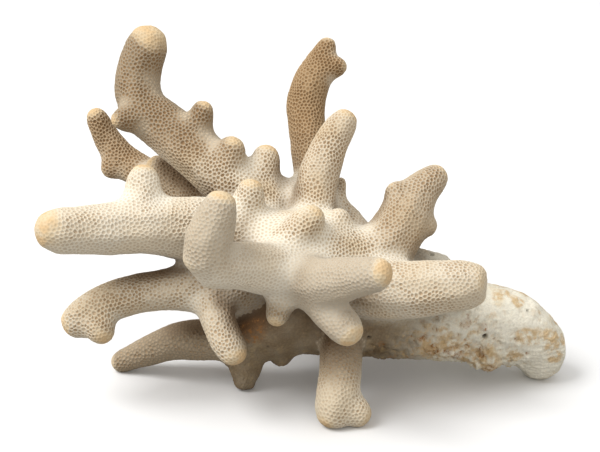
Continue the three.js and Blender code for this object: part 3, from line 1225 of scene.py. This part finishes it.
@dataclass
class WornSkin:
    """The skin of a limb that has lost its cups.

    It runs a little way under its neighbours, where it sinks out of sight.
    """

    limb: str
    wear: Wear
    margin_steps: int = 7
    sink: float = 1.3 * MM
    cut_band: float = 0.35 * MM
    border_rounds: int = 40
    border_share: tuple[float, float] = (0.5, 0.9)
    paint_rounds: int = 12
    sink_rounds: int = 3
    cup_radii: tuple[float, float] = (0.10 * MM, 0.52 * MM)
    swell_size: float = 9 * MM
    crust_size: float = 1.9 * MM
    pocket_size: float = 2.3 * MM
    patch_size: float = 6 * MM
    hole_depth: float = 2.6 * MM
    pin_depth: float = 0.7 * MM
    pin_spacing: float = 7 * MM
    stripe_height: float = 0.17 * MM
    stripe_step: float = 0.21 * MM
    stripe_wander: float = 4 * MM

    def _patch(self, skin: Skin, net: Skin, cell: np.ndarray, traits: dict, number: int) -> Shell:
        """Cuts the limb's own skin and its hidden margin from the base form."""
        own = traits[Trait.LIMB][cell] == number
        reached, steps = own, np.zeros(len(own))
        first, second = skin.edges.T
        for _ in range(self.margin_steps):
            grown = reached.copy()
            grown[first[reached[second]]] = True
            grown[second[reached[first]]] = True
            steps += ~reached
            reached = grown
        steps += ~reached
        chosen = skin.faces[reached[skin.faces].all(axis=1)]
        values = {trait: skin.blurred(traits[trait][cell], self.paint_rounds) for trait in PAINT_TRAITS}
        sunk = skin.blurred(steps, self.sink_rounds) / self.margin_steps
        values[Trait.SUNK] = smooth_step(0, 1, sunk)
        inner = skin.blurred(own.astype(float), self.border_rounds)
        values[Trait.INNER] = smooth_step(*self.border_share, inner)
        near = np.linalg.norm(skin.points - net.points[cell], axis=1)
        values[Trait.PIT] = 1 - smooth_step(*self.cup_radii, near)
        return Shell.of_skin(Skin(skin.points, chosen), values).part(np.ones(len(chosen), bool))

    def _mark(self, patch: Shell) -> None:
        """Adds where the patch is rough, striped, stained, rusty, holed and sawn."""
        points = patch.points.astype(float)
        nothing = np.zeros(len(points))
        for trait, places, ragged in (
            (Trait.ROUGH, self.wear.rough, 3.5 * MM),
            (Trait.STRIPED, self.wear.striped, 1.5 * MM),
            (Trait.STAINED, self.wear.stained, 2.5 * MM),
            (Trait.RUSTY, self.wear.rusty, 1.2 * MM),
            (Trait.HOLE, self.wear.holes, 0.0),
        ):
            covers = [place.cover(points, self.limb, ragged) for place in places]
            patch.values[trait] = np.max([nothing, *covers], axis=0)
        end = CAD_BOX[1][0] - self.cut_band
        patch.values[Trait.SAWN] = smooth_step(end - self.cut_band, end, points[:, 0])

    def _plan(self) -> GeometryPlan:
        """Draws up the tree that weathers the patch."""
        plan = GeometryPlan("weathering", {
            "Relief": self.wear.relief, "Grain": self.wear.grain, "Cups": self.wear.cups,
            "Pocket": self.wear.pocket, "Hole": self.hole_depth, "Stripe": self.stripe_height,
            "Sink": self.sink})
        place = plan.node("GeometryNodeInputPosition").outputs[0]

        def noise_of(size: float, detail: float, roughness: float) -> Number:
            """Noise from -1 to 1."""
            return (plan.soft_noise(place, size, detail, roughness) - 0.5) * 2.0

        def cells_of(size: float) -> Number:
            """How far away the middle of the nearest cell is, in cells of that size."""
            made = plan.node("ShaderNodeTexVoronoi", vector=place, scale=1 / size, randomness=1.0)
            return plan.number(made.outputs[0])

        rough, sawn, sunk = map(plan.trait, (Trait.ROUGH, Trait.SAWN, Trait.SUNK))
        eaten = 1 - cells_of(self.pocket_size).eased(0.10, 0.62)
        patchy = noise_of(self.patch_size, 2.0, 0.5).eased(-0.25, 0.35)
        pocket = eaten * patchy * (rough * 0.9 + 0.1)
        pin = 1 - cells_of(self.pin_spacing).eased(0.05, 0.11)
        height = plan.number(plan.node("ShaderNodeSeparateXYZ", vector=place).outputs[2])
        bands = height / self.stripe_step + noise_of(self.stripe_wander, 2.0, 0.5) * 9.0
        stripe = plan.number(plan.node("ShaderNodeMath", {"operation": "SINE"}, in_0=bands).outputs[0])
        rise = noise_of(self.swell_size, 3.0, 0.5) * plan.size("Relief")
        crust = noise_of(self.crust_size, 4.0, 0.7)
        rise = rise + crust * plan.size("Grain") * (rough * 1.5 + 0.36)
        rise = rise - pocket * plan.size("Pocket")
        rise = rise + stripe * plan.trait(Trait.STRIPED) * plan.size("Stripe")
        cups = plan.trait(Trait.PIT) * plan.size("Cups") * (1 - rough)
        cups = cups * (plan.trait(Trait.DULL) * 0.8 + 0.2)
        hole = plan.trait(Trait.HOLE)
        holed = hole.eased(0.1, 0.9) * plan.size("Hole") + pin * self.pin_depth
        rise = (rise * plan.trait(Trait.INNER) - cups - holed) * (1 - sawn) - sunk * plan.size("Sink")
        move = plan.scaled(plan.node("GeometryNodeInputNormal").outputs[0], rise)
        skin = plan.stored(plan.geometry, Trait.POCKET, pocket)
        skin = plan.stored(skin, Trait.CRUST, crust)
        # Where the holes are painted near black, as painted shade inside them.
        skin = plan.stored(skin, Trait.HOLE, (hole.eased(0.3, 0.8) + pin).at_most(1.0))
        skin = plan.node("GeometryNodeSetPosition", geometry=skin, offset=move).outputs[0]
        plan.finish(skin, None)
        return plan

    def grow(self, skin: Skin, net: Skin, cell: np.ndarray, traits: dict, number: int) -> Shell:
        """Weathers the limb.

        Args:
            skin: the base form.
            net: the net of seeds.
            cell: the seed of each corner of the base form.
            traits: the cups' traits.
            number: the limb's number.

        Returns:
            One closed shell.
        """
        patch = self._patch(skin, net, cell, traits, number)
        self._mark(patch)
        mesh = self._plan().run(patch.to_mesh(self.limb))
        kept = (*PAINT_TRAITS, Trait.PIT, Trait.POCKET, Trait.ROUGH, Trait.CRUST, Trait.STAINED,
                Trait.RUSTY, Trait.HOLE, Trait.SAWN)
        shell = Shell.of_mesh(mesh, kept, shaded=False)
        low, high = CAD_BOX
        shell.points[:, 2] = np.maximum(shell.points[:, 2], low[2])
        shell.points[:, 0] = np.minimum(shell.points[:, 0], high[0])
        return shell.without_pinches().closed(skin, WORN_LID_DEPTH)


class Paint(Plan):
    """A material under construction."""

    def __init__(self, name: str) -> None:
        """Starts a material of that name."""
        self.material = bpy.data.materials.new(name)
        self.material.use_nodes = True
        super().__init__(self.material.node_tree)
        self.place = self.node("ShaderNodeTexCoord").outputs["Object"]

    def trait(self, trait: Trait) -> Number:
        """A trait of the skin."""
        made = self.node("ShaderNodeAttribute", {"attribute_name": trait.value})
        return Number(self, made.outputs["Fac"])

    def cloud(self, size: float, detail: float = 2.0, roughness: float = 0.5) -> Number:
        """Soft noise from 0 to 1 that changes over a length of size."""
        return self.soft_noise(self.place, size, detail, roughness)

    def layered(self, base: object, *layers: tuple[object, Number]) -> bpy.types.NodeSocket:
        """A base colour with other colours laid over it, one after another, each by its share."""
        for colour, share in layers:
            base = self.mixed(base, colour, share)
        return base

    def finish(
        self, colour: bpy.types.NodeSocket, roughness: Number, height: Number, depth: float,
    ) -> bpy.types.Material:
        """Ends the material.

        Args:
            colour: its base colour.
            roughness: its roughness.
            height: its relief, from 0 to 1.
            depth: the relief's depth.

        Returns:
            The material.
        """
        bump = self.node("ShaderNodeBump", strength=1.0, distance=depth, height=height)
        shader = self.node("ShaderNodeBsdfPrincipled", base_color=colour, roughness=roughness,
                           normal=bump.outputs[0])
        shader.inputs["Specular IOR Level"].default_value = 0.25
        out = self.node("ShaderNodeOutputMaterial")
        self.tree.links.new(shader.outputs[0], out.inputs[0])
        return self.material


@dataclass(frozen=True)
class CupFinish:
    """Skin with cups: pale walls round brown pits, ochre tips, white forks, painted shade in hollows."""

    wall: Colour = linear(226, 214, 192)
    warm_wall: Colour = linear(220, 203, 174)
    fork_wall: Colour = linear(240, 232, 215)
    tip_wall: Colour = linear(226, 203, 165)
    tip_heart: Colour = linear(222, 184, 132)
    tan_wall: Colour = linear(178, 151, 116)
    # Partly the limbs' own duller colour, partly painted shade.
    dull_wall: Colour = linear(164, 149, 127)
    # The pits' colours: partly brown residue and partly painted shade in the hollows.
    pit: Colour = linear(206, 186, 157)
    dark_pit: Colour = linear(178, 152, 120)
    fork_pit: Colour = linear(208, 190, 162)
    tip_pit: Colour = linear(208, 182, 143)
    tan_pit: Colour = linear(150, 119, 83)
    # Painted shade: the brown that places hemmed in by coral are darkened towards.
    stain: Colour = linear(108, 84, 58)
    warm_size: float = 14 * MM
    blush_size: float = 3 * MM
    heart_size: float = 4 * MM
    speck_size: float = 0.35 * MM
    grain_size: float = 0.22 * MM
    grain_depth: float = 0.07 * MM

    def dress(self, name: str) -> bpy.types.Material:
        """Makes the material.

        Args:
            name: its name.

        Returns:
            The material.
        """
        paint = Paint(name)
        tip, fork, tan, dull = map(paint.trait, (Trait.TIP, Trait.FORK, Trait.TAN, Trait.DULL))
        tone, pit, faint = map(paint.trait, (Trait.TONE, Trait.PIT, Trait.FAINT))
        blush = tip.eased(0.20, 1.0) * (0.30 + 1.0 * paint.cloud(self.blush_size, 3.0))
        heart = tip.eased(0.55, 1.0) * paint.cloud(self.heart_size, 2.0).eased(0.40, 0.62)
        wall = paint.layered(
            self.wall,
            (self.warm_wall, paint.cloud(self.warm_size, 3.0).eased(0.42, 0.62)),
            (self.fork_wall, (fork + faint * 0.65).at_most(1.0)),
            (self.tan_wall, tan * (1 - fork * 0.6) * (1 - tip * 0.5)),
            # Partly the limbs' own colour, partly painted shade on shaded limbs and undersides.
            (self.dull_wall, dull * (1 - tip.eased(0.0, 1.0) * 0.65)),
            (self.tip_wall, blush.at_most(1.0)),
            (self.tip_heart, heart * 0.7),
        )
        # The pits are painted darker, partly for their residue and partly as painted shade.
        hollow = paint.layered(
            self.pit,
            (self.dark_pit, tone),
            (self.tan_pit, tan),
            (self.fork_pit, fork.eased(0.1, 0.9)),
            (self.tip_pit, tip.eased(0.1, 0.9)),
        )
        colour = paint.layered(
            wall,
            # Partly residue, partly painted shade towards the bottom of each pit.
            (hollow, pit.eased(0.1, 0.95) * (1 - 0.5 * faint)),
            # Painted shade where other coral hems the cup in.
            (self.stain, paint.trait(Trait.SHELTERED).eased(0.14, 0.76) * 0.9),
        )
        colour = paint.scaled(colour, 0.9 + 0.2 * paint.cloud(self.speck_size, 3.0, 0.6))
        grain = paint.cloud(self.grain_size, 4.0, 0.65)
        return paint.finish(colour, 0.82 + 0.12 * pit, grain, self.grain_depth)


@dataclass(frozen=True)
class ChalkFinish:
    """Worn skin: chalk stained with ochre, rusty pockets, and painted shade in worm holes and hollows."""

    chalk: Colour = linear(253, 247, 229)
    cream: Colour = linear(242, 229, 200)
    ochre: Colour = linear(222, 190, 140)
    rust: Colour = linear(174, 122, 72)
    # Partly the trunk's own browner colour, partly painted shade under the crown.
    dull: Colour = linear(136, 116, 88)
    # Partly residue, partly painted shade in the worn cups.
    pit: Colour = linear(176, 152, 120)
    # Painted shade, laid on where other coral hems the trunk in.
    shade: Colour = linear(94, 70, 46)
    # Painted shade: the darker brown of the crust's hollows.
    cavity: Colour = linear(126, 102, 74)
    # Painted shade: the near black inside worm holes and pinholes.
    hole: Colour = linear(40, 29, 20)
    blotch_size: float = 9 * MM
    dull_size: float = 6 * MM
    stain_size: float = 4 * MM
    patch_size: float = 2.5 * MM
    fleck_size: float = 1.3 * MM
    grain_size: float = 0.6 * MM
    grain_depth: float = 0.5 * MM
    sheen_size: float = 2 * MM

    def dress(self, name: str) -> bpy.types.Material:
        """Makes the material.

        Args:
            name: its name.

        Returns:
            The material.
        """
        paint = Paint(name)
        rough, pocket, stained, rusty = map(
            paint.trait, (Trait.ROUGH, Trait.POCKET, Trait.STAINED, Trait.RUSTY))
        dull, pit, sawn, crust = map(paint.trait, (Trait.DULL, Trait.PIT, Trait.SAWN, Trait.CRUST))
        stain = paint.cloud(self.stain_size, 5.0, 0.65).eased(0.54, 0.68)
        patch = stained * paint.cloud(self.patch_size, 4.0, 0.65).eased(0.36, 0.58)
        fleck = paint.cloud(self.fleck_size, 4.0, 0.7).eased(0.50, 0.64)
        crusts = pocket.eased(0.10, 0.5) * fleck * 0.8 + rusty * (0.20 + 0.80 * fleck)
        colour = paint.layered(
            self.chalk,
            (self.cream, paint.cloud(self.blotch_size, 4.0, 0.6).eased(0.52, 0.70)),
            # Partly the trunk's own colour, partly painted shade at its root under the crown.
            (self.dull, dull * (0.72 + 0.4 * paint.cloud(self.dull_size, 3.0))),
            (self.ochre, (1 - crust.eased(-0.50, 0.10)) * (0.08 + 0.62 * rough)),
            # Painted shade in the hollows of the rough crust.
            (self.cavity, (1 - crust.eased(-0.60, -0.10)) * rough * 0.8),
            (self.ochre, stain * (0.25 + 0.5 * rough)),
            (self.ochre, patch * 0.85),
            # The worn cups darkened, partly for residue and partly as painted shade.
            (self.pit, pit * (1 - rough) * (1 - sawn) * (0.15 + 0.4 * dull)),
            # Painted shade where other coral hems the trunk in.
            (self.shade, paint.trait(Trait.SHELTERED).eased(0.18, 0.62) * 0.95),
            (self.rust, crusts.at_most(0.92)),
            # Painted shade inside the worm holes and pinholes.
            (self.hole, paint.trait(Trait.HOLE)),
        )
        speck = paint.cloud(self.grain_size, 4.0, 0.75).eased(0.3, 0.7)
        colour = paint.scaled(colour, 0.90 + 0.18 * speck)
        grain = paint.cloud(self.grain_size, 5.0, 0.75)
        roughness = paint.cloud(self.sheen_size) * 0.1 + 0.85
        return paint.finish(colour, roughness, grain, self.grain_depth)


@dataclass
class Studio:
    """A pale floor, soft light from above and a camera that looks slightly down."""

    aim_offset: tuple[float, float, float] = (-3.6 * MM, 1.8 * MM, -4.1 * MM)
    distance: float = 420 * MM
    tilt: float = math.radians(20)
    lens: float = 78.72
    sensor: float = 36.0
    floor_radius: float = 6.0
    floor_gap: float = 0.2 * MM
    floor_white: float = 0.92
    bounce_grey: float = 0.62
    dome_strength: float = 0.84
    sky_light: Colour = (1.0, 1.0, 1.0)
    ground_light: Colour = (0.46, 0.43, 0.38)
    key_place: tuple[float, float, float] = (-1.35, -0.45, 1.85)
    key_power: float = 44.0
    fill_place: tuple[float, float, float] = (0.35, -1.95, 0.75)
    fill_power: float = 7.0
    lamp_size: float = 1.6

    def build(self) -> None:
        """Sets the stage."""
        self._floor()
        self._sky()
        self._lamp("soft_box", self.key_place, self.key_power)
        self._lamp("front_fill", self.fill_place, self.fill_power)
        self._camera()

    def _floor(self) -> None:
        """A wide white floor to look at, and a greyer one just under it that throws less light back."""
        seen = self._disk("floor", 0.0, self.floor_white)
        seen.visible_diffuse = False
        bouncing = self._disk("bounce_floor", -self.floor_gap, self.bounce_grey)
        bouncing.visible_camera = False

    def _disk(self, name: str, height: float, albedo: float) -> bpy.types.Object:
        """A round sheet at a height above the coral's lowest point."""
        shape = bmesh.new()
        bmesh.ops.create_circle(shape, cap_ends=True, segments=64, radius=self.floor_radius)
        mesh = bpy.data.meshes.new(name)
        shape.to_mesh(mesh)
        shape.free()
        mesh.transform(Matrix.Translation((0, 0, CAD_BOX[0][2] + height)))
        disk = placed(name, mesh)
        material = bpy.data.materials.new(name)
        material.use_nodes = True
        shader = material.node_tree.nodes["Principled BSDF"]
        shader.inputs["Base Color"].default_value = (albedo, albedo, albedo, 1.0)
        shader.inputs["Roughness"].default_value = 0.9
        shader.inputs["Specular IOR Level"].default_value = 0.0
        mesh.materials.append(material)
        return disk

    def _sky(self) -> None:
        """Even light from above, and a weaker warm one from below."""
        world = bpy.data.worlds.new("soft_dome")
        world.use_nodes = True
        bpy.context.scene.world = world
        plan = Plan(world.node_tree)
        ray = plan.node("ShaderNodeTexCoord").outputs["Generated"]
        height = plan.number(plan.node("ShaderNodeSeparateXYZ", vector=ray).outputs[2])
        colour = plan.mixed(self.ground_light, self.sky_light, height.eased(0.0, 1.0))
        dome = plan.node("ShaderNodeBackground", color=colour, strength=self.dome_strength)
        out = plan.node("ShaderNodeOutputWorld")
        plan.tree.links.new(dome.outputs[0], out.inputs[0])

    def _lamp(self, name: str, place: tuple[float, float, float], power: float) -> None:
        """Hangs a large soft box that faces the coral."""
        middle = (CAD_BOX[0] + CAD_BOX[1]) / 2
        light = bpy.data.lights.new(name, "AREA")
        light.shape = "DISK"
        light.size = self.lamp_size
        light.energy = power
        lamp = placed(name, light)
        lamp.location = Vector(place)
        lamp.rotation_euler = (middle - lamp.location).to_track_quat("-Z", "Y").to_euler()

    def _camera(self) -> None:
        """The camera, at the distance and height of the usual view."""
        data = bpy.data.cameras.new("camera")
        data.lens = self.lens
        data.sensor_width = self.sensor
        data.clip_start = 0.01
        data.clip_end = 50
        aim = (CAD_BOX[0] + CAD_BOX[1]) / 2 + Vector(self.aim_offset)
        back = Vector((0, -math.cos(self.tilt), math.sin(self.tilt)))
        camera = placed("camera", data)
        camera.location = aim + back * self.distance
        camera.rotation_euler = (math.pi / 2 - self.tilt, 0, 0)
        bpy.context.scene.camera = camera


@dataclass
class Colony:
    """The whole coral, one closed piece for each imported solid."""

    limbs: Limbs
    finishes: dict[Slot, bpy.types.Material]

    def build(self) -> None:
        """Grows the colony and parts it."""
        skin = BaseForm().grow(self.limbs)
        LOG.info("base form: %d triangles", len(skin.faces))
        nursery = SeedNet()
        net = nursery.spread(skin)
        LOG.info("seed net: %d cups", len(net.points))
        traits = CupTraits().read(net, skin, self.limbs)
        cups, limb = CupGrower().grow(net, traits)
        LOG.info("cups grown: %d triangles", cups.triangles())
        for number, name in enumerate(self.limbs.names):
            if name in WEARS:
                shell = WornSkin(name, WEARS[name]).grow(skin, net, nursery.cell, traits, number)
            else:
                shell = cups.part(limb == number).closed(skin, CUP_LID_DEPTH)
            self._finish(name, shell)

    def _finish(self, name: str, shell: Shell) -> None:
        """Turns a closed shell into a piece that stands for its solid."""
        slot = LIMB_SLOTS.get(name, Slot.CREAM)
        mesh = shell.to_mesh(f"{name}_skin")
        mesh.materials.append(self.finishes[slot])
        piece = placed(f"{name}_skin", mesh)
        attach(piece, "root")
        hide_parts(name)
        LOG.info("%s: %d triangles, %s", piece.name, shell.triangles(), slot.value)


def main() -> None:
    """Builds the coral and its studio, and notes the sizes."""
    layout = "%(name)s %(relativeCreated)d %(message)s"
    logging.basicConfig(level=logging.INFO, format=layout, force=True)
    cups, chalk = CupFinish(), ChalkFinish()
    finishes = {slot: cups.dress(slot.value) for slot in (Slot.CREAM, Slot.TAN, Slot.SHADED)}
    finishes[Slot.CHALK] = chalk.dress(Slot.CHALK.value)
    Colony(Limbs(frame["nodes"]), finishes).build()
    Studio().build()
    bpy.context.scene.view_settings.view_transform = "Standard"
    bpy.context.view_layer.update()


if __name__ == "__main__":
    main()
